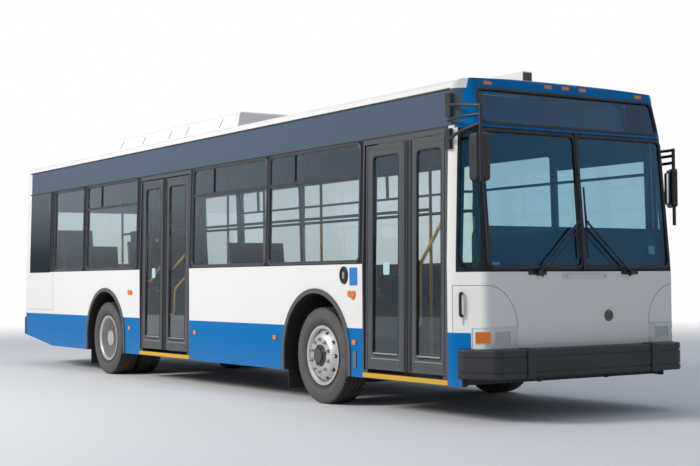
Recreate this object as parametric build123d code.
from build123d import *
import math
import os

# City bus: low floor, two outward-swinging double doors on the kerb side, twin rear wheels.
# Millimetres. +X is forward, +Y is the bus's left (street side), +Z is up.
# The origin is on the ground, midway between the faces of the two bumpers.

os.makedirs("parts", exist_ok=True)

# Driving dimensions of the body
overall_length = 11640
front_overhang = 2750
wheelbase = 5610
body_width = 2590
wall = 50
skirt_z = 320
floor_z = 370
dash_z = 1300
belt_z = 1440
band_z = 2655
eave_z = 2990
crown_z = 3135
crown_radius = 21000
cove_radius = 95
tumblehome = 0.0266
screen_rake = 0.082
cap_rake = 0.29
bumper_reach = 138
tail_inset = 30
knee_back = 332
crease_in = 135
knee_radius = 300
crease_radius = 95
tail_radius = 160
gap = 0.3
slip = 3
roof_reach = 135
cap_edge_radius = 130
tail_edge_radius = 190
cut_reach = 100
cut_slack = 5

# Wheels and axles
tyre_radius = 498
tyre_width = 305
tyre_face_y = 1250
twin_gap = 40
rim_flange_radius = 309
bead_radius = 286
king_pin_y = 985
king_pin_radius = 22
spindle_radius = 30
rear_spindle_radius = 45
pin_fit = 0.05
arch_radius = 645
arch_centre_z = 520
arch_lead = -30
rear_arch_lead = 60
housing_gap = 12
housing_wall = 10
housing_depth = 660
axle_slot = 150
flap_z = 118

# Glazing
frame_width = 26
frame_depth = 38
frame_recess = 2
pane_play = 1
glass_inset = 10
glass_thickness = 6
transom_z = 2312
bar_width = 22
corner_round = 70
window_low_z = 1446
window_high_z = 2636

# Doors
leaf_thickness = 34
leaf_inset = 6
leaf_low_z = 412
leaf_high_z = 2583
leaf_glass_low_z = 545
leaf_glass_high_z = 2475
leaf_corner = 45
jamb_gap = 6
jamb_width = 20
jamb_depth = 110
header_z = 2596
sill_z = 374
pivot_radius = 8
pivot_block_z = 404

half = body_width / 2
front_x = overall_length / 2
nose_x = front_x - bumper_reach
tail_x = -front_x + tail_inset
knee_x = nose_x - knee_back
front_axle_x = front_x - front_overhang
rear_axle_x = front_axle_x - wheelbase


def from_front(x):
    return front_axle_x + x


def from_rear(x):
    return rear_axle_x + x


bumper_low_z = 395
bumper_high_z = 655
bumper_rear_x = from_front(2360)
front_seam_x = from_front(2292)
cap_seam_x = from_front(2240)
rear_seam_x = tail_x + 170
big = body_width


def half_at(z):
    return half - tumblehome * max(z - belt_z, 0)


def face_x(z):
    raked = nose_x - screen_rake * max(min(z, band_z) - dash_z, 0)
    return raked - cap_rake * max(z - band_z, 0)


def save(name, *solids):
    shape = solids[0] if len(solids) == 1 else Compound(children=list(solids))
    export_step(shape, f"parts/{name}.step")


# Plain solids between named limits

def block(x0, x1, y0, y1, z0, z1):
    middle = Pos((x0 + x1) / 2, (y0 + y1) / 2, (z0 + z1) / 2)
    return middle * Box(abs(x1 - x0), abs(y1 - y0), abs(z1 - z0))


def rod(start, end, radius):
    axis = Vector(*end) - Vector(*start)
    plane = Plane(origin=start, z_dir=axis)
    return extrude(plane * Circle(radius), axis.length)


def side_prism(face, y0, y1):
    return Pos(0, (y0 + y1) / 2, 0) * Rot(90, 0, 0) * extrude(face, abs(y1 - y0) / 2, both=True)


def front_prism(face, x0, x1):
    return extrude(Plane.YZ.offset((x0 + x1) / 2) * face, abs(x1 - x0) / 2, both=True)


def window_face(x0, x1, z0, z1, radius):
    return Pos((x0 + x1) / 2, (z0 + z1) / 2) * RectangleRounded(x1 - x0, z1 - z0, radius)


def tube(points, radius, bend):
    path = FilletPolyline(*points, radius=bend)
    start = Plane(origin=path @ 0, z_dir=path % 0)
    return sweep(start * Circle(radius), path=path)


# The body's outer surface, at any depth below the skin

def inset_corners(points, distance):
    lines = []
    for i, (x0, y0) in enumerate(points):
        x1, y1 = points[(i + 1) % len(points)]
        length = math.hypot(x1 - x0, y1 - y0)
        nx = -(y1 - y0) / length
        ny = (x1 - x0) / length
        lines.append((nx, ny, nx * x0 + ny * y0 + distance))
    corners = []
    for i in range(len(points)):
        a, b, c = lines[i - 1]
        d, e, f = lines[i]
        det = a * e - b * d
        corners.append(((c * e - b * f) / det, (a * f - c * d) / det))
    return corners


def rounded_face(points, radii, inset):
    corners = inset_corners(points, inset)
    inner_radii = [max(radius - inset, 4) if radius else 0 for radius in radii]
    return make_face(FilletPolyline(*corners, radius=inner_radii, close=True))


def plan_face(z, inset):
    side = half_at(z)
    crease = side - crease_in
    corners = [(tail_x, -side), (knee_x, -side), (face_x(z), -crease),
               (face_x(z), crease), (knee_x, side), (tail_x, side)]
    knee = knee_radius * (face_x(z) - knee_x) / knee_back
    radii = [tail_radius, knee, crease_radius, crease_radius, knee, tail_radius]
    return rounded_face(corners, radii, inset)


def cross_prism(inset):
    low = skirt_z - cut_reach
    top = crown_z - 60
    corners = [(half + slip, low), (half + slip, belt_z), (half_at(top) + slip, top), (0, crown_z),
               (-half_at(top) - slip, top), (-half - slip, belt_z), (-half - slip, low)]
    radii = [0, 0, cove_radius, crown_radius, cove_radius, 0, 0]
    return extrude(Plane.YZ * rounded_face(corners, radii, inset), overall_length, both=True)


def profile_prism(inset):
    low = skirt_z - cut_reach
    top = crown_z + 6
    nose = nose_x + 300
    corners = [(tail_x - slip, low), (nose, low), (nose, band_z - 40), (face_x(band_z) + slip + 8, band_z),
               (face_x(top) + slip, top), (tail_x - slip, top)]
    radii = [0, 0, 0, 0, cap_edge_radius, tail_edge_radius]
    return side_prism(rounded_face(corners, radii, inset), -body_width, body_width)


def hull(inset, low):
    levels = [low, dash_z, belt_z, band_z, eave_z + roof_reach]
    sections = [Pos(0, 0, z) * plan_face(z, inset) for z in levels]
    return loft(sections, ruled=True) & cross_prism(inset) & profile_prism(inset)


outer_hull = hull(0, skirt_z)
inner_hull = hull(wall, skirt_z - 40)
shell = outer_hull - inner_hull
glass_skin = hull(glass_inset, skirt_z - 20) - hull(glass_inset + glass_thickness, skirt_z - 40)
roof_top = cross_prism(-gap)


# A flat slab of the side wall between two depths, for side -1 (kerb) or 1 (street)

def side_slab(side, outer, inner, x0, x1, z0, z1):
    heights = [z0, belt_z, z1] if z0 < belt_z < z1 else [z0, z1]
    skin = [(side * (half_at(z) - outer), z) for z in heights]
    back = [(side * (half_at(z) - inner), z) for z in reversed(heights)]
    section = make_face(Polyline(*skin, *back, close=True))
    return extrude(Plane.YZ.offset((x0 + x1) / 2) * section, abs(x1 - x0) / 2, both=True)


def side_cut(side, face):
    return side_prism(face, side * (half - 4 * wall), side * (half + 4 * wall))


# Wheel arches: a circle on two straight legs, shared by the walls, the housings and the floor

arches = {"front": from_front(arch_lead), "rear": from_rear(rear_arch_lead)}


def arch_face(x, radius, low):
    crown = Pos(x, arch_centre_z + radius / 2) * Rectangle(2 * radius, radius)
    legs = Pos(x, (arch_centre_z + low) / 2) * Rectangle(2 * radius, arch_centre_z - low)
    return (Pos(x, arch_centre_z) * Circle(radius) & crown) + legs


# Windows: name, rear edge, front edge, x of the vent bar or none, whether it has a transom
windows = {
    -1: [
        ("tail", from_rear(-1905), from_rear(-765), None, False),
        ("rear", from_rear(-640), from_rear(1100), from_rear(-130), True),
        ("middle", from_front(-2885), from_front(-1052), from_front(-2343), True),
        ("front", from_front(-1018), from_front(802), from_front(-470), True),
    ],
    1: [
        ("tail", from_rear(-1905), from_rear(-765), None, False),
        ("rear", from_rear(-640), from_rear(1100), from_rear(-130), True),
        ("centre", from_rear(1134), from_front(-2919), None, True),
        ("middle", from_front(-2885), from_front(-1052), from_front(-2343), True),
        ("front", from_front(-1018), from_front(802), from_front(-470), True),
        ("driver", from_front(836), from_front(2200), None, True),
    ],
}

# Doors: rear and front edge of each opening
door_openings = {
    "front": (from_front(850), from_front(2217)),
    "rear": (from_rear(1199), from_rear(2661)),
}

# Leaves: doorway, way from hinge to free edge, x of the free edge, glass edge by the hinge, far glass edge
leaves = {
    "front_aft": ("front", 1, from_front(1576), from_front(1005), from_front(1437)),
    "front_fore": ("front", -1, from_front(1604), from_front(2102), from_front(1723)),
    "rear_aft": ("rear", 1, from_rear(1904), from_rear(1346), from_rear(1795)),
    "rear_fore": ("rear", -1, from_rear(1932), from_rear(2509), from_rear(2042)),
}


def hinge_of(door, way):
    rear, front = door_openings[door]
    edge = rear if way > 0 else front
    return edge + way * (jamb_width + jamb_gap + leaf_thickness / 2)


pillar_x = door_openings["front"][1] + 3
rear_skirt_x = from_rear(-1948)
rear_skirt_z = 455


def side_wall(side):
    slab = side_slab(side, 0, wall, rear_seam_x, pillar_x, skirt_z, eave_z)
    near, far = sorted((0, side * big))
    slab += shell & block(pillar_x, front_seam_x, near, far, skirt_z, band_z)
    slab += shell & block(pillar_x, cap_seam_x, near, far, band_z, eave_z)
    for name, rear, front, bar, transom in windows[side]:
        slab -= side_cut(side, window_face(rear, front, window_low_z, window_high_z, corner_round))
    for x in arches.values():
        slab -= side_cut(side, arch_face(x, arch_radius, skirt_z - wall))
    if side < 0:
        for rear, front in door_openings.values():
            slab -= side_cut(side, Pos((rear + front) / 2, (band_z + skirt_z - wall) / 2)
                             * Rectangle(front - rear, band_z - skirt_z + wall))
    sweep_up = make_face(Polyline((rear_seam_x - 1, skirt_z - 1), (rear_skirt_x, skirt_z - 1),
                                  (rear_seam_x - 1, rear_skirt_z), close=True))
    return slab - side_cut(side, sweep_up)


def window_frame(side, rear, front, bar, transom):
    ring = window_face(rear, front, window_low_z, window_high_z, corner_round)
    hole = window_face(rear + frame_width, front - frame_width, window_low_z + frame_width,
                       window_high_z - frame_width, corner_round - frame_width)
    face = ring - hole
    if transom:
        face += Pos((rear + front) / 2, transom_z) * Rectangle(front - rear - frame_width, bar_width)
    if bar is not None:
        top = window_high_z - frame_width / 2
        face += Pos(bar, (transom_z + top) / 2) * Rectangle(bar_width, top - transom_z)
    slab = side_slab(side, frame_recess, frame_depth, rear, front, window_low_z - cut_slack,
                     window_high_z + cut_slack)
    cover = frame_width / 2
    groove = side_slab(side, glass_inset - gap, glass_inset + glass_thickness + gap, rear + cover,
                       front - cover, window_low_z + cover, window_high_z - cover)
    return (slab & side_cut(side, face)) - groove


def window_pane(side, rear, front):
    rim_cover = frame_width / 2 + pane_play
    face = window_face(rear + rim_cover, front - rim_cover, window_low_z + rim_cover,
                       window_high_z - rim_cover, corner_round - frame_width / 2)
    slab = side_slab(side, glass_inset, glass_inset + glass_thickness, rear, front,
                     window_low_z, window_high_z)
    return slab & side_cut(side, face)


for side, word in ((-1, "right"), (1, "left")):
    save(f"side_wall_{word}", side_wall(side))
    save(f"window_frames_{word}", *[window_frame(side, *row[1:]) for row in windows[side]])
    save(f"side_glass_{word}", *[window_pane(side, row[1], row[2]) for row in windows[side]])


# Roof, tail, nose, windscreen and cap, all cut from the same shell

save("roof_shell", shell & block(rear_seam_x, cap_seam_x, -big, big, eave_z, crown_z + 50))

lid_half = 900
lid_low_z = 480
lid_high_z = 1240
lid_thickness = 30
tail_window_half = 850
tail_window_low_z = 1560
tail_window_high_z = 2420
tail_lamp_y = 1090
tail_lamps = [1180, 1000, 820]
tail_lamp_radius = 62

tail_wall = shell & block(-big * 3, rear_seam_x, -big, big, skirt_z, crown_z + 50)
tail_wall -= block(-big * 3, rear_seam_x + 1, -big, big, skirt_z - 50, rear_skirt_z)
tail_hole = window_face(-tail_window_half, tail_window_half, tail_window_low_z, tail_window_high_z,
                        corner_round)
tail_wall -= front_prism(tail_hole, tail_x - wall, tail_x + 2 * wall)
tail_wall -= block(tail_x - wall, tail_x + 2 * wall, -lid_half, lid_half, lid_low_z, lid_high_z)
tail_pane = window_face(-tail_window_half + gap, tail_window_half - gap, tail_window_low_z + gap,
                        tail_window_high_z - gap, corner_round)
save("rear_glass", front_prism(tail_pane, tail_x + glass_inset, tail_x + glass_inset + glass_thickness))

# Nose panel with the two lamp pockets
lamp_inner_y = 820
lamp_outer_y = 1221
lamp_low_z = 660
lamp_high_z = 852
nose = shell & block(front_seam_x, front_x, -big, big, skirt_z, dash_z)
nose -= block(bumper_rear_x + 20, front_x, -big, big, skirt_z - 50, bumper_low_z + 25)
lamp_faces = [Pos(s * (lamp_inner_y + lamp_outer_y) / 2, (lamp_low_z + lamp_high_z) / 2)
              * Rectangle(lamp_outer_y - lamp_inner_y, lamp_high_z - lamp_low_z) for s in (-1, 1)]
screen_depth = 260
lamp_rear_x = nose_x - screen_depth
lamp_cut = front_prism(lamp_faces[0], lamp_rear_x, front_x)
lamp_cut += front_prism(lamp_faces[1], lamp_rear_x, front_x)
save("front_mask", nose - lamp_cut)

screen_edge_y = 1118
screen_low_z = 1372
screen_high_z = 2604
divider = 22
quarter_rear_x = from_front(2345)
quarter_front_x = from_front(2545)
quarter_low_z = 1365
quarter_round = 90
quarter_post_y = 1152


def screen_face(grow):
    low = screen_low_z - grow
    high = screen_high_z + grow
    inner = divider / 2 - grow
    outer = screen_edge_y + grow
    right = window_face(-outer, -inner, low, high, corner_round)
    left = window_face(inner, outer, low, high, corner_round)
    return right + left


def quarter_prisms(grow):
    face = window_face(quarter_rear_x - grow, quarter_front_x + grow, quarter_low_z - grow,
                       screen_high_z + grow, quarter_round)
    return side_prism(face, -big, -quarter_post_y + grow) + side_prism(face, quarter_post_y - grow, big)


pillars = shell & block(front_seam_x, front_x, -big, big, dash_z, band_z)
pillars -= front_prism(screen_face(0), nose_x - screen_depth, front_x)
pillars -= quarter_prisms(0)
screens = glass_skin & front_prism(screen_face(-gap), nose_x - screen_depth, front_x)
quarters = glass_skin & quarter_prisms(-gap)
save("windscreen_glass", *(screens.solids() + quarters.solids()))

sign_half = 1098
sign_low_z = 2668
sign_high_z = 2990
sign_round = 60
display_half = 900
display_low_z = 2702
display_high_z = 2962
display_thickness = 70
display_set_back = 150
sign_depth = 360
cap = shell & block(cap_seam_x, front_x, -big, big, band_z, crown_z + 50)
cap -= front_prism(window_face(-sign_half, sign_half, sign_low_z, sign_high_z, sign_round),
                   nose_x - sign_depth, front_x)
save("front_cap", cap)
sign_pane = glass_skin & front_prism(
    window_face(-sign_half + gap, sign_half - gap, sign_low_z + gap, sign_high_z - gap, sign_round),
    nose_x - sign_depth, front_x)
display_x = face_x(display_high_z) - display_set_back
display = block(display_x - display_thickness, display_x, -display_half, display_half,
                display_low_z, display_high_z)
shelf_half = half_at(display_low_z + 10) - wall - gap
display += block(display_x - display_thickness, pillar_x, -shelf_half, shelf_half,
                 band_z + 12, display_low_z + 10)
save("sign_unit", sign_pane, display)


# Door leaves: each swings about a round stile whose axis leans with the wall above the belt

leaf_height = leaf_high_z - leaf_low_z
leaf_lean = math.degrees(math.atan((half_at(leaf_low_z) - half_at(leaf_high_z)) / leaf_height))
stile_radius = leaf_thickness / 2
axis_low_y = -(half - leaf_inset - stile_radius)
rail_radius = 15
rail_stand = 62
rail_rise = 250
rail_length = 700
rail_slope = 60
rail_bend = 30
pin_reach = 22


def place_leaf(hinge_x, shape):
    return Pos(hinge_x, axis_low_y, leaf_low_z) * Rot(-leaf_lean, 0, 0) * shape


def leaf_parts(way, hinge_x, free_x, glass_near_x, glass_far_x):
    width = abs(free_x - hinge_x)
    near = abs(glass_near_x - hinge_x)
    far = abs(glass_far_x - hinge_x)
    panel = block(0, way * width, -stile_radius, stile_radius, 0, leaf_height)
    stile = rod((0, 0, 0), (0, 0, leaf_height), stile_radius)
    low = leaf_glass_low_z - leaf_low_z
    high = leaf_glass_high_z - leaf_low_z
    pane_face = window_face(min(way * near, way * far), max(way * near, way * far), low, high, leaf_corner)
    panel = panel + stile - side_prism(pane_face, -leaf_thickness, leaf_thickness)
    pin = rod((0, 0, -pin_reach), (0, 0, leaf_height + pin_reach), pivot_radius)
    grip_x = way * (far + (width - far) / 2)
    grip_low = low + rail_rise
    grip_high = grip_low + rail_length
    grip = tube([(grip_x, stile_radius - 2, grip_low), (grip_x, rail_stand, grip_low + rail_slope),
                 (grip_x, rail_stand, grip_high - rail_slope), (grip_x, stile_radius - 2, grip_high)],
                rail_radius, rail_bend)
    slim = window_face(min(way * near, way * far) + gap, max(way * near, way * far) - gap,
                       low + gap, high - gap, leaf_corner - gap)
    pane = side_prism(slim, -glass_thickness / 2, glass_thickness / 2)
    return panel + pin + grip, pane


for name, (door, way, free_x, glass_near_x, glass_far_x) in leaves.items():
    hinge_x = hinge_of(door, way)
    leaf, pane = leaf_parts(way, hinge_x, free_x, glass_near_x, glass_far_x)
    save(f"door_{name}", place_leaf(hinge_x, leaf))
    save(f"door_glass_{name}", place_leaf(hinge_x, pane))

# Portals: jambs, header and sill line each doorway, with a pivot block at each corner

block_reach = 60
block_recess = 2
block_margin = 20


def portal(door):
    rear, front = door_openings[door]
    frame = side_slab(-1, 0, wall + jamb_depth, rear, front, floor_z, band_z)
    low_clear = side_slab(-1, -wall, 2 * wall + jamb_depth, rear + jamb_width, front - jamb_width,
                          sill_z, header_z)
    frame = frame - low_clear
    frame -= side_slab(-1, -wall, 2 * wall + jamb_depth, rear, front, floor_z - 10, sill_z)
    for way, x_edge in ((1, rear), (-1, front)):
        x0, x1 = sorted((x_edge, x_edge + way * (jamb_width + block_reach)))
        frame += block(x0, x1, -half + block_recess, -half + block_recess + 2 * stile_radius + block_margin,
                       sill_z, pivot_block_z)
    sill = block(rear, front, -half, -half + wall, skirt_z, sill_z)
    frame += sill
    hole = rod((0, 0, -2 * pin_reach), (0, 0, leaf_height + 2 * pin_reach), pivot_radius + pin_fit)
    for way in (1, -1):
        frame -= place_leaf(hinge_of(door, way), hole)
    return frame


for door in door_openings:
    save(f"door_portal_{door}", portal(door))

# Floor: a low platform cut to the body's plan, a rear deck and a raised base over the engine

deck_z = 760
bench_z = 1200
deck_plate = 30
step_x = from_rear(1060)
bench_x = from_rear(-1960)
front_floor_x = nose_x - wall - 10
toe_x = from_front(2240)
jack_pad_y = 700
jack_pad_half = 80
jack_pad_z = 312
jack_pad_places = [from_front(-1500), from_rear(1400)]
toe_z = 455
toe_plate = 50


def floor_slab(x0, x1, z0, z1):
    plan = extrude(Pos(0, 0, z0) * plan_face(z0, wall), z1 - z0)
    return plan & block(x0, x1, -half, half, z0, z1)


housing_radius = arch_radius - housing_gap
housing_inner_y = half - wall - housing_depth


def housing_core(side, x, radius, low, grow):
    y0, y1 = sorted((side * (housing_inner_y - grow), side * (half - wall)))
    return side_prism(arch_face(x, radius, low), y0, y1)


low_floor = floor_slab(step_x, toe_x, skirt_z, floor_z)
for x in jack_pad_places:
    for y in (-jack_pad_y, jack_pad_y):
        low_floor += block(x - jack_pad_half, x + jack_pad_half, y - jack_pad_half, y + jack_pad_half,
                           jack_pad_z, skirt_z + cut_slack)
toe_board = floor_slab(toe_x + gap, front_floor_x, toe_z - toe_plate, toe_z)
jamb_inner_y = half - wall - jamb_depth - gap
toe_riser = floor_slab(toe_x - deck_plate, toe_x, floor_z + gap, toe_z)
toe_riser -= block(toe_x - deck_plate - gap, toe_x + gap, -half, -jamb_inner_y, floor_z, toe_z + gap)
floors = [
    low_floor,
    floor_slab(step_x, step_x + deck_plate, floor_z + gap, deck_z),
    floor_slab(bench_x, step_x - gap, deck_z - deck_plate, deck_z),
    floor_slab(bench_x, bench_x + deck_plate, deck_z + gap, bench_z),
    floor_slab(rear_seam_x, bench_x - gap, bench_z - deck_plate, bench_z),
    toe_riser,
]
tow_x = from_front(2440)
tow_y = 420
tow_z = 372
tow_radius = 17
tow_eye = 38
tow_plate = 24
for s in (-1, 1):
    lug = block(tow_x - tow_eye, tow_x + tow_eye, s * tow_y - tow_plate / 2, s * tow_y + tow_plate / 2,
                tow_z, toe_z - toe_plate + 5)
    lug += rod((tow_x, s * tow_y - tow_plate / 2, tow_z), (tow_x, s * tow_y + tow_plate / 2, tow_z), tow_eye)
    toe_board += lug - rod((tow_x, s * tow_y - 50, tow_z), (tow_x, s * tow_y + 50, tow_z), tow_radius)
floors.append(toe_board)
cores = [housing_core(s, x, housing_radius, skirt_z - cut_reach, housing_wall)
         for s in (-1, 1) for x in arches.values()]
pieces = [piece - cores[0] - cores[1] - cores[2] - cores[3] for piece in floors]
save("floor_platform", *[solid for piece in pieces for solid in piece.solids()])

lip_thickness = 22
lip_proud = 13
trim_reach = 27

for side, word in ((-1, "right"), (1, "left")):
    tunnels = []
    for x in arches.values():
        tunnel = housing_core(side, x, housing_radius, skirt_z, housing_wall)
        tunnel -= housing_core(side, x, housing_radius - housing_wall, skirt_z - cut_reach, 0)
        slot_high = tyre_radius + axle_slot
        tunnel -= block(x - axle_slot - abs(rear_arch_lead), x + axle_slot, -half, half, skirt_z - 1,
                        slot_high)
        lip_y0, lip_y1 = sorted((side * (half - wall), side * (half + lip_proud)))
        lip = side_prism(arch_face(x, arch_radius - gap, skirt_z), lip_y0, lip_y1)
        bore = side_prism(arch_face(x, arch_radius - lip_thickness, skirt_z - cut_reach),
                          -2 * half, 2 * half)
        lip -= bore
        trim_y0, trim_y1 = sorted((side * (half + gap), side * (half + lip_proud)))
        trim = side_prism(arch_face(x, arch_radius + trim_reach, skirt_z), trim_y0, trim_y1)
        lip += trim - bore
        flap_x = x - housing_radius + housing_wall
        flap_y0, flap_y1 = sorted((side * (half - wall - tyre_width), side * (half - wall)))
        flap = block(flap_x - housing_wall, flap_x, flap_y0, flap_y1, flap_z, skirt_z)
        tunnels.append(tunnel + lip + flap)
    save(f"wheel_housings_{word}", *tunnels)

# Bumpers wrap the nose and tail and stand clear of the panels by the fitting gap

bumper_corner = 110
bumper_crease_y = half - 160
bumper_knee = 320
bumper_soft = 14
strap_y = 765
strap_width = 90
strap_proud = 14
strap_rise = 6
strap_soft = 10
groove_depth = 9
groove_height = 14
grooves = [446, 580]
rear_bumper_low_z = 460
rear_bumper_high_z = 735
rear_bumper_x = -front_x + 400


def bumper_ring(face, knee, crease_y, z0, z1, inset):
    corners = [(0, -half), (face - knee, -half), (face, -crease_y),
               (face, crease_y), (face - knee, half), (0, half)]
    radii = [0, bumper_corner, bumper_corner, bumper_corner, bumper_corner, 0]
    return Pos(0, 0, z0) * extrude(rounded_face(corners, radii, inset), z1 - z0)


def bumper(face, knee, crease_y, z0, z1, levels):
    bar = bumper_ring(face, knee, crease_y, z0, z1, 0)
    edges = bar.faces().sort_by(Axis.Z)[-1].edges() + bar.faces().sort_by(Axis.Z)[0].edges()
    bar = fillet(edges, bumper_soft)
    for z in levels:
        ring = bumper_ring(face, knee, crease_y, z, z + groove_height, -50)
        bar -= ring - bumper_ring(face, knee, crease_y, z, z + groove_height, groove_depth)
    return bar


front_bar = bumper(front_x - strap_proud, bumper_knee, bumper_crease_y, bumper_low_z, bumper_high_z, grooves)
for s in (-1, 1):
    strap = block(nose_x - 5, front_x, s * strap_y - strap_width / 2, s * strap_y + strap_width / 2,
                  bumper_low_z - strap_rise, bumper_high_z + strap_rise)
    front_bar += fillet(strap.edges().filter_by(Axis.Y) + strap.edges().filter_by(Axis.Z), strap_soft)
front_bar = front_bar & block(bumper_rear_x, front_x, -big, big, 0, belt_z)
nose_body = extrude(Pos(0, 0, bumper_low_z - 20) * plan_face(bumper_low_z, -gap), 400)
save("front_bumper", front_bar - nose_body)
rear_crease_y = half - 10
rear_bar = bumper(front_x, bumper_corner, rear_crease_y, rear_bumper_low_z, rear_bumper_high_z, [])
rear_bar = Rot(0, 0, 180) * rear_bar & block(-front_x, rear_bumper_x, -big, big, 0, belt_z)
tail_body = extrude(Pos(0, 0, rear_bumper_low_z - 20) * plan_face(bumper_low_z, -gap), 400)
save("rear_bumper", rear_bar - tail_body)

# Lamps: head lamp housings fill their pockets; small lamps stand on the panels

lamp_wall = 60
lamp_body = outer_hull & lamp_cut
lamp_body -= hull(wall + lamp_wall, skirt_z - 40)
lens_depth = 16
lens_low_z = 704
lens_high_z = 812
lens_corner = 14
lens_pockets = [(898, 1082), (1121, 1205)]
lens_skin = outer_hull - hull(lens_depth, skirt_z - 40)
for s in (-1, 1):
    for near_y, far_y in lens_pockets:
        y0, y1 = sorted((s * near_y, s * far_y))
        pocket = window_face(y0, y1, lens_low_z, lens_high_z, lens_corner)
        lamp_body -= lens_skin & front_prism(pocket, lamp_rear_x, front_x)
save("head_lamps", *lamp_body.solids())

# Low markers along the skirt, turn lamps on the walls, clearance lamps on the cap, round tail lamps
marker_places = [from_front(-852), from_front(711), from_rear(900), from_rear(2827)]
marker_half = 32
marker_low_z = 636
marker_high_z = 684
marker_proud = 14
turn_lamps = [(from_front(668), 1138), (from_rear(911), 1133)]
turn_lamp_half = 34
turn_lamp_radius = 32
turn_lamp_proud = 16
cap_lamp_places = [-945, -215, 0, 215, 945]
cap_lamp_half = 45
cap_lamp_rise = 16
cap_lamp_proud = 4
cap_lamp_depth = 60
cap_lamp_drop = 72
cap_lamp_fall = 0.02
tail_lamp_proud = 12
markers = []
for x in marker_places:
    for s in (-1, 1):
        y0, y1 = sorted((s * half, s * (half + marker_proud)))
        markers.append(block(x - marker_half, x + marker_half, y0, y1, marker_low_z, marker_high_z))
for x, z in turn_lamps:
    for s in (-1, 1):
        for dx in (-turn_lamp_half, turn_lamp_half):
            markers.append(rod((x + dx, s * half, z), (x + dx, s * (half + turn_lamp_proud), z),
                               turn_lamp_radius))
for y in cap_lamp_places:
    z = crown_z - cap_lamp_drop - abs(y) * cap_lamp_fall
    lamp = block(face_x(z) - cap_lamp_depth, face_x(z) + cap_lamp_proud, y - cap_lamp_half,
                 y + cap_lamp_half, z - cap_lamp_rise, z + cap_lamp_rise)
    markers.append(lamp - outer_hull)
for z in tail_lamps:
    for s in (-1, 1):
        markers.append(rod((tail_x - tail_lamp_proud, s * tail_lamp_y, z), (tail_x, s * tail_lamp_y, z),
                           tail_lamp_radius))
save("marker_lamps", *markers)

# Roof air unit: a leaning box with rounded ends, and the small equipment box ahead of it

unit_rear_x = from_front(-6130)
unit_front_x = from_front(-2110)
unit_half = 1100
unit_top_half = 1000
unit_top_z = 3292
unit_round = 70
unit_tail_slope = 420
unit_nose_slope = 60
unit_wall = 40
unit_foot_z = crown_z - 40
unit_outline_radii = [0, 0, 0, 50, 300, 60]
equipment_low_y = -263
equipment_high_y = -143
equipment_top_z = 3248


# The unit's solid at a depth below its skin: a leaning box cut by its side outline
def unit_solid(depth, low):
    ends = [(-unit_half, low), (unit_half, low), (unit_top_half, unit_top_z), (-unit_top_half, unit_top_z)]
    section = rounded_face(ends, [0, 0, unit_round, unit_round], depth)
    box = extrude(Plane.YZ.offset((unit_rear_x + unit_front_x) / 2) * section,
                  (unit_front_x - unit_rear_x) / 2, both=True)
    outline = [(unit_rear_x, low - 10), (unit_front_x, low - 10), (unit_front_x, unit_foot_z),
               (unit_front_x - unit_nose_slope, unit_top_z + 1),
               (unit_rear_x + unit_tail_slope, unit_top_z + 1), (unit_rear_x, unit_foot_z)]
    return box & side_prism(rounded_face(outline, unit_outline_radii, depth), -big, big)


unit = unit_solid(0, eave_z) - roof_top - unit_solid(unit_wall, eave_z - unit_wall)
equipment_box = block(from_front(1610), from_front(2080), equipment_low_y, equipment_high_y, eave_z,
                      equipment_top_z) - roof_top
save("roof_unit", unit, equipment_box)


# Engine block and the tail lid, hinged along its top edge on two side pins

lid_axis_z = lid_high_z - lid_thickness / 2 - jamb_gap
lid_axis_x = tail_x + lid_thickness / 2 + 2
lid_width = lid_half - jamb_gap
lid_pin = 6
lid = block(lid_axis_x - lid_thickness / 2, lid_axis_x + lid_thickness / 2, -lid_width, lid_width,
            lid_low_z + jamb_gap, lid_axis_z)
lid += rod((lid_axis_x, -lid_width, lid_axis_z), (lid_axis_x, lid_width, lid_axis_z), lid_thickness / 2)
lid_pin_y = lid_width + jamb_gap + 20
lid += rod((lid_axis_x, -lid_pin_y, lid_axis_z), (lid_axis_x, lid_pin_y, lid_axis_z), lid_pin)
vent_pitch = 60
vent_rows = 6
vent_drop = 110
vent_half = 12
vent_round = 11
vent_share = 0.8
for row in range(vent_rows):
    z = lid_axis_z - vent_drop - row * vent_pitch
    vent = window_face(-lid_width * vent_share, lid_width * vent_share, z - vent_half, z + vent_half,
                       vent_round)
    lid -= front_prism(vent, lid_axis_x - lid_thickness, lid_axis_x + lid_thickness)
save("engine_door", lid)

tail_wall -= rod((lid_axis_x, -lid_pin_y - 1, lid_axis_z), (lid_axis_x, lid_pin_y + 1, lid_axis_z),
                 lid_pin + pin_fit)
save("rear_wall", tail_wall)

engine_low_z = 430
engine_half = 450
engine_rear_x = tail_x + 260
save("engine_block", block(engine_rear_x, bench_x - 40, -engine_half, engine_half, engine_low_z,
                           bench_z - deck_plate))

# Front axle: a dropped beam with a king pin at each end, and a knuckle round each pin

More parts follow.
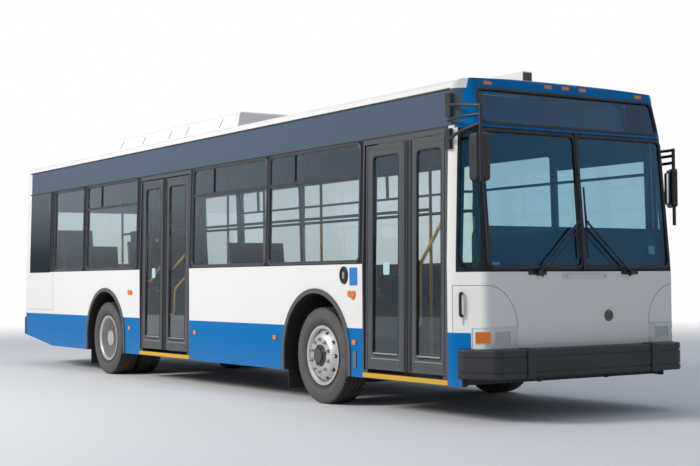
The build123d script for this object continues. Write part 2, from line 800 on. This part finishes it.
wheel_z = tyre_radius
wheel_centre_y = tyre_face_y - tyre_width / 2
boss_radius = 46
boss_half = 66
ear_thickness = 34
ear_gap = 5
pin_half = boss_half + ear_gap + ear_thickness + 6
beam_z = 245
beam_size = 90
beam_turn_y = king_pin_y - 175
beam = block(front_axle_x - beam_size / 2, front_axle_x + beam_size / 2, -beam_turn_y, beam_turn_y,
             beam_z - beam_size / 2, beam_z + 10)
for s in (-1, 1):
    inboard = king_pin_y - boss_radius - 2 * ear_gap
    arm_low = wheel_z - boss_half + ear_gap
    arm_high = wheel_z + boss_half - ear_gap
    arm_points = [(s * (beam_turn_y - 70), beam_z - beam_size / 2), (s * beam_turn_y, beam_z - beam_size / 2),
                  (s * inboard, beam_z + 60), (s * inboard, arm_low), (s * king_pin_y, arm_low),
                  (s * king_pin_y, arm_high), (s * (inboard - 60), arm_high),
                  (s * (inboard - 90), beam_z + 110), (s * (beam_turn_y - 70), beam_z + 10)]
    arm = make_face(Polyline(*arm_points, close=True))
    beam += extrude(Plane.YZ.offset(front_axle_x) * arm, beam_size / 2, both=True)
    beam += rod((front_axle_x, s * king_pin_y, wheel_z - boss_half),
                (front_axle_x, s * king_pin_y, wheel_z + boss_half), boss_radius)
    beam += rod((front_axle_x, s * king_pin_y, wheel_z - pin_half),
                (front_axle_x, s * king_pin_y, wheel_z + pin_half), king_pin_radius)
save("front_axle", beam)

plate_y = king_pin_y + boss_radius + ear_gap
plate_thickness = 26
spindle_end_y = wheel_centre_y + 70
ear_radius = 44
plate_half = 60


def knuckle(s):
    low = wheel_z - boss_half - ear_gap - ear_thickness
    high = wheel_z + boss_half + ear_gap
    y0, y1 = sorted((s * plate_y, s * (plate_y + plate_thickness)))
    body = block(front_axle_x - plate_half, front_axle_x + plate_half, y0, y1, low, high + ear_thickness)
    for z in (low, high):
        ear = rod((front_axle_x, s * king_pin_y, z), (front_axle_x, s * king_pin_y, z + ear_thickness),
                  ear_radius)
        e0, e1 = sorted((s * king_pin_y, s * (plate_y + 1)))
        body += ear + block(front_axle_x - ear_radius, front_axle_x + ear_radius, e0, e1, z,
                            z + ear_thickness)
    body -= rod((front_axle_x, s * king_pin_y, low - 10),
                (front_axle_x, s * king_pin_y, high + ear_thickness + 10), king_pin_radius + pin_fit)
    body += rod((front_axle_x, s * (plate_y + 1), wheel_z), (front_axle_x, s * spindle_end_y, wheel_z),
                spindle_radius)
    return body


for side, word in ((-1, "right"), (1, "left")):
    save(f"knuckle_{word}", knuckle(side))

# Wheels, turned about the axle: radius and distance outboard from the wheel's middle

tyre_section = [(-115, bead_radius), (115, bead_radius), (115, 318), (152.5, 392), (130, tyre_radius),
                (-130, tyre_radius), (-152.5, 392), (-115, 318)]
tyre_radii = [0, 0, 20, 90, 34, 34, 90, 20]
hub_bore = 100
hand_hole_radius = 23
hand_hole_circle = 228
hand_holes = 10
disc_half = 8
front_disc_at = 62
front_disc_lean = 22
rear_disc_at = -96
twin_seam = 0.5
hub_step = 0.72


def turned(section, radii, x, y, s):
    face = make_face(FilletPolyline(*section, radius=radii, close=True))
    ring = revolve(Plane(origin=(0, 0, 0), x_dir=(0, s, 0), z_dir=(-s, 0, 0)) * face, Axis.Y)
    return Pos(x, y, wheel_z) * ring


def rim(x, y, s, disc_at, lean):
    barrel = [(-128, bead_radius - 1), (-128, rim_flange_radius), (-116, rim_flange_radius),
              (-116, bead_radius - gap), (116, bead_radius - gap), (116, rim_flange_radius),
              (128, rim_flange_radius), (128, bead_radius - 1), (110, bead_radius - 14),
              (-110, bead_radius - 14)]
    ring = turned(barrel, [0] * 10, x, y, s)
    inner = disc_at - disc_half
    outer = disc_at + disc_half
    web = [(inner, bead_radius - 8), (inner + lean, 180), (inner + lean, hub_bore),
           (outer + lean, hub_bore), (outer + lean, 190), (outer, bead_radius - 8)]
    return ring + turned(web, [0, 60, 0, 0, 60, 0], x, y, s)


def pierced(wheel, x, y0, y1):
    for i in range(hand_holes):
        angle = math.radians(360 / hand_holes * (i + 0.5))
        hx = x + hand_hole_circle * math.cos(angle)
        hz = wheel_z + hand_hole_circle * math.sin(angle)
        wheel -= rod((hx, y0, hz), (hx, y1, hz), hand_hole_radius)
    return wheel


def hub(x, s, y_in, y_out, y_cap, radius, bore, bore_end):
    body = rod((x, s * y_in, wheel_z), (x, s * y_out, wheel_z), radius)
    body += rod((x, s * (y_out - 1), wheel_z), (x, s * y_cap, wheel_z), radius * hub_step)
    return body - rod((x, s * (y_in - 1), wheel_z), (x, s * bore_end, wheel_z), bore)


rear_centres = [tyre_face_y - tyre_width / 2, tyre_face_y - 1.5 * tyre_width - twin_gap]
rear_face_y = sum(rear_centres) / 2

for side, word in ((-1, "right"), (1, "left")):
    y = side * wheel_centre_y
    save(f"tyre_front_{word}", turned(tyre_section, tyre_radii, front_axle_x, y, side))
    front_wheel = rim(front_axle_x, y, side, front_disc_at, front_disc_lean)
    front_wheel = pierced(front_wheel, front_axle_x, side * (wheel_centre_y - 20),
                          side * (wheel_centre_y + 140))
    front_wheel += hub(front_axle_x, side, plate_y + plate_thickness + 5, wheel_centre_y + 92,
                       wheel_centre_y + 165, hub_bore + 6, spindle_radius + pin_fit, spindle_end_y + 5)
    save(f"rim_front_{word}", front_wheel)
    pair = [turned(tyre_section, tyre_radii, rear_axle_x, side * yc, side) for yc in rear_centres]
    save(f"tyres_rear_{word}", *pair)
    outer_y, inner_y = rear_centres
    half_seam = disc_half + twin_seam
    outer_lean = -(outer_y - rear_face_y + rear_disc_at - half_seam)
    inner_lean = -(rear_face_y - inner_y + rear_disc_at - half_seam)
    outer_rim = rim(rear_axle_x, side * outer_y, side, rear_disc_at, outer_lean)
    inner_rim = rim(rear_axle_x, side * inner_y, -side, rear_disc_at, inner_lean)
    twin = outer_rim + inner_rim
    twin = pierced(twin, rear_axle_x, side * (rear_face_y - 60), side * (rear_face_y + 60))
    twin += hub(rear_axle_x, side, rear_face_y - 150, rear_face_y + 130, rear_face_y + 265,
                hub_bore + 46, rear_spindle_radius + pin_fit, rear_face_y + 150)
    save(f"rims_rear_{word}", twin)

# Rear axle: a banjo casing with a stub in each twin hub

axle_tube = 68
casing_radius = 175
spring_seat_y = 430
front_spring_y = 500
rear_stub_y = rear_face_y + 145
rear_tube_y = rear_face_y - 156
pinion_reach = 330
pinion_radius = 70
casing = rod((rear_axle_x, -rear_tube_y, wheel_z), (rear_axle_x, rear_tube_y, wheel_z), axle_tube)
casing += rod((rear_axle_x, -rear_stub_y, wheel_z), (rear_axle_x, rear_stub_y, wheel_z), rear_spindle_radius)
casing += Pos(rear_axle_x, 0, wheel_z) * Sphere(casing_radius)
casing += rod((rear_axle_x - pinion_reach, 0, wheel_z), (rear_axle_x, 0, wheel_z), pinion_radius)
save("rear_axle", casing)

# Suspension blocks carry each axle under the floor

spring_radius = 60
perch = []
for s in (-1, 1):
    perch.append(rod((front_axle_x, s * front_spring_y, beam_z + 10 + gap),
                     (front_axle_x, s * front_spring_y, skirt_z), spring_radius))
    perch.append(rod((rear_axle_x, s * spring_seat_y, wheel_z + axle_tube + gap),
                     (rear_axle_x, s * spring_seat_y, deck_z - deck_plate), spring_radius))
save("air_springs", *perch)

# Driver's place: dash, column, wheel and seat

dash_x0 = from_front(2210)
dash_x1 = nose_x - wall - 40
dash_top = dash_z - 30
dash_side_y = 150
wheel_x = dash_x0 - 130
wheel_y = 640
steer_radius = 225
steer_rim_radius = 16
spoke_radius = 11
column_radius = 38
knee_depth = 200
knee_edge_y = 1150
dash = floor_slab(dash_x0, dash_x1, toe_z, dash_top)
dash = dash & block(dash_x0, dash_x1, dash_side_y, half, toe_z, dash_top)
dash -= block(dash_x0 - 10, dash_x0 + knee_depth, dash_side_y + 60, knee_edge_y, toe_z + 40,
              dash_top - 260)
for s in (-1, 1):
    y0, y1 = sorted((s * (lamp_inner_y - cut_slack), s * half))
    dash -= block(lamp_rear_x - cut_slack, front_x, y0, y1, lamp_low_z - cut_slack, lamp_high_z + cut_slack)
column_low = (dash_x0 + 60, wheel_y, dash_top - 160)
column_high = (wheel_x, wheel_y, dash_top - 60)
lean = Vector(*column_high) - Vector(*column_low)
column = rod(column_low, column_high, column_radius)
wheel_plane = Plane(origin=column_high, z_dir=lean)
steer = wheel_plane * Torus(steer_radius, steer_rim_radius)
for i in range(3):
    spoke_angle = math.radians(90 + 120 * i)
    tip = wheel_plane.from_local_coords(Vector(steer_radius * math.cos(spoke_angle),
                                               steer_radius * math.sin(spoke_angle), 0))
    steer += rod(column_high, tuple(tip), spoke_radius)
save("driver_station", dash + column + steer)


# Seats: x of the cushion's middle, height of the floor under it, y edges, 1 when it faces forward

seat_depth = 430
seat_height = 440
cushion_thickness = 80
back_thickness = 60
back_height = 640
back_lean = 8
back_drop = 20
seat_play = 20
cushion_round = 40
back_round = 20
post_half_x = 40
post_half_y = 90


def seat(x, z, y0, y1, facing):
    width = y1 - y0 - seat_play
    middle = (y0 + y1) / 2
    cushion = Pos(x, middle, z + seat_height) * Box(seat_depth, width, cushion_thickness)
    back_x = x - facing * (seat_depth / 2)
    back_z = z + seat_height + back_height / 2 - back_drop
    back = Box(back_thickness, width, back_height)
    back = Pos(back_x, middle, back_z) * Rot(0, -facing * back_lean, 0) * back
    cushion = fillet(cushion.edges().filter_by(Axis.Z), cushion_round)
    back = fillet(back.edges().filter_by(Axis.Z, reverse=True).group_by(Axis.Z)[-1], back_round)
    post = block(x - post_half_x, x + post_half_x, middle - post_half_y, middle + post_half_y, z,
                 z + seat_height - 10)
    return cushion + back + post


aisle_y = 330
wall_y = half - wall - 30
low_rows_right = [from_front(-2430), from_front(-1700), from_front(-980)]
low_rows_left = [from_rear(1500), from_rear(2300), from_rear(3100), from_front(-1750), from_front(-1050)]
deck_rows = [from_rear(-1500), from_rear(900)]
last_row = from_rear(-2500)
driver_half = 260
plinth_half = 200
plinth_height = 130
driver_seat = seat(from_front(1500), floor_z + plinth_height - 10, wheel_y - driver_half,
                   wheel_y + driver_half, 1)
plinth = block(from_front(1300), from_front(1720), wheel_y - plinth_half, wheel_y + plinth_half, floor_z,
               floor_z + plinth_height)

rows = {
    "right": [(x, floor_z) for x in low_rows_right] + [(x, deck_z) for x in deck_rows],
    "left": [(x, floor_z) for x in low_rows_left] + [(x, deck_z) for x in deck_rows],
}
for side, word in ((-1, "right"), (1, "left")):
    y0, y1 = sorted((side * aisle_y, side * wall_y))
    places = [seat(x, z, y0, y1, 1) for x, z in rows[word]]
    places.append(seat(last_row, bench_z - 160, y0, y1, 1)
                  - block(last_row - 300, last_row + 300, -half, half, 0, bench_z))
    save(f"seats_{word}", *places)
save("driver_seat", driver_seat + plinth)

# Handrails: stanchions from floor to ceiling and a rail along each side of the aisle

rail_y = aisle_y - 40
rail_z = 2000
ceiling_z = eave_z + 60
pole_radius = 17
pole_feet = [(from_rear(-1650), deck_z), (from_rear(700), deck_z), (from_rear(2760), floor_z),
             (from_front(-1500), floor_z), (from_front(640), floor_z)]
rails = []
for s in (-1, 1):
    for x, foot in pole_feet:
        rails.append(rod((x, s * rail_y, foot), (x, s * rail_y, ceiling_z), pole_radius) - shell)
    for (x0, _), (x1, _) in zip(pole_feet, pole_feet[1:]):
        reach = pole_radius + gap
        rails.append(rod((x0 + reach, s * rail_y, rail_z), (x1 - reach, s * rail_y, rail_z), pole_radius))
save("handrails", *rails)

# Mirrors on tube arms: kerb side ahead of the nose, street side beside the driver's window

arm_radius = 15
post_radius = 17
right_post = (front_x - 25, -(half + 5))
right_arms = [(2840, 2780), (2700, 2705), (2520, 2625)]
bracket_x = from_front(2245)
bracket_depth = 40
bracket_half = 34
bracket_bite = 6
arm_bend = 500


def mirror_arm(s, post, start_x, start_z, end_z, bow):
    wall_y_at = half_at(start_z) + bracket_depth / 2
    middle_x = (start_x + post[0]) / 2
    return tube([(start_x, s * wall_y_at, start_z), (middle_x, s * (half + bow), (start_z + end_z) / 2),
                 (post[0], post[1], end_z)], arm_radius, arm_bend)


def mirror_head(x, y, z0, z1, depth, width, turn, round_off):
    head = Box(depth, width, z1 - z0)
    return Pos(x, y, (z0 + z1) / 2) * Rot(0, 0, turn) * fillet(head.edges(), round_off)


right_mirror = rod((*right_post, 2120), (*right_post, 2800), post_radius)
for start_z, end_z in right_arms:
    right_mirror += mirror_arm(-1, right_post, bracket_x, start_z, end_z, 60)
for z0, z1 in ((2735, 2944), (2440, 2625)):
    y_in = half_at((z0 + z1) / 2) - bracket_bite
    plate_box = block(bracket_x - bracket_half, bracket_x + bracket_half, -y_in - bracket_depth, -y_in,
                      z0, z1)
    right_mirror += plate_box - outer_hull
right_mirror += mirror_head(front_x - 95, -1259, 2130, 2555, 130, 164, 0, 34)
save("mirror_right", right_mirror)

left_post = (from_front(2490), half + 28)
left_mirror = rod((*left_post, 1790), (*left_post, 2550), post_radius)
for start_z, end_z in ((2530, 2535), (2470, 2480), (2400, 2410)):
    left_mirror += mirror_arm(1, left_post, bracket_x, start_z, end_z, 40)
y_in = half_at(2470) - bracket_bite
left_mirror += block(bracket_x - bracket_half, bracket_x + bracket_half, y_in, y_in + bracket_depth,
                     2375, 2560) - outer_hull
left_mirror += mirror_head(left_post[0] - 10, left_post[1] - 16, 1965, 2345, 66, 230, 57, 26)
save("mirror_left", left_mirror)

# Wipers: each arm turns on a spindle square to the glass, and the blade stays upright on its tip

screen_tilt = math.degrees(math.atan(screen_rake))
wiper_low_z = 1325
wiper_lift = 30
spindle_y = 575
wiper_arm_length = 700
wiper_arm_angle = 42
blade_half = 330
spindle_length = 24
blade_radius = 9
link_offset = 46
link_radius = 6
link_rise = 4
spindle_pin_radius = 8
wiper_base_radius = 26
wiper_arm_radius = 10
knuckle_radius = 14
knuckle_height = 20
blade_pin_radius = 5
blade_pin_drop = 9
blade_drop = 21


def screen_place(y, z, shape):
    origin = (face_x(z), y, z)
    plane = Plane(origin=origin, x_dir=(0, 1, 0), z_dir=(math.cos(math.radians(screen_tilt)), 0,
                                                         math.sin(math.radians(screen_tilt))))
    return plane * shape


wipers = {
    "right": (-spindle_y, 1),
    "left": (spindle_y, -1),
}
for word, (y, way) in wipers.items():
    bore = Cylinder(spindle_pin_radius + pin_fit, spindle_length + 4)
    pillars -= screen_place(y, wiper_low_z, Pos(0, 0, -spindle_length / 2) * bore)
    angle = math.radians(wiper_arm_angle)
    tip = (way * wiper_arm_length * math.cos(angle), wiper_arm_length * math.sin(angle))
    base = Pos(0, 0, wiper_lift / 2 + 2) * Cylinder(wiper_base_radius, wiper_lift)
    arm = base + rod((0, 0, wiper_lift), (tip[0], tip[1], wiper_lift), wiper_arm_radius)
    arm += Pos(tip[0], tip[1], wiper_lift) * Cylinder(knuckle_radius, knuckle_height)
    link = (way * link_offset * math.sin(angle), -link_offset * math.cos(angle))
    link_z = wiper_lift + link_rise
    link_start = (link[0], link[1], link_z)
    link_end = (tip[0] + link[0], tip[1] + link[1], link_z)
    arm += rod(link_start, link_end, link_radius)
    arm += rod((0, 0, link_z), link_start, link_radius)
    arm += rod((tip[0], tip[1], link_z), link_end, link_radius)
    arm += Pos(tip[0], tip[1], wiper_lift - blade_pin_drop) * Cylinder(blade_pin_radius, 30)
    arm += Pos(0, 0, -spindle_length / 2 + 2) * Cylinder(spindle_pin_radius, spindle_length + 6)
    save(f"wiper_arm_{word}", screen_place(y, wiper_low_z, arm))
    blade_z = wiper_lift - blade_drop
    blade = rod((tip[0], tip[1] - blade_half, blade_z), (tip[0], tip[1] + blade_half, blade_z), blade_radius)
    blade -= Pos(tip[0], tip[1], wiper_lift - blade_pin_drop) * Cylinder(blade_pin_radius + pin_fit, 60)
    save(f"wiper_blade_{word}", screen_place(y, wiper_low_z, blade))
save("windscreen_frame", pillars)
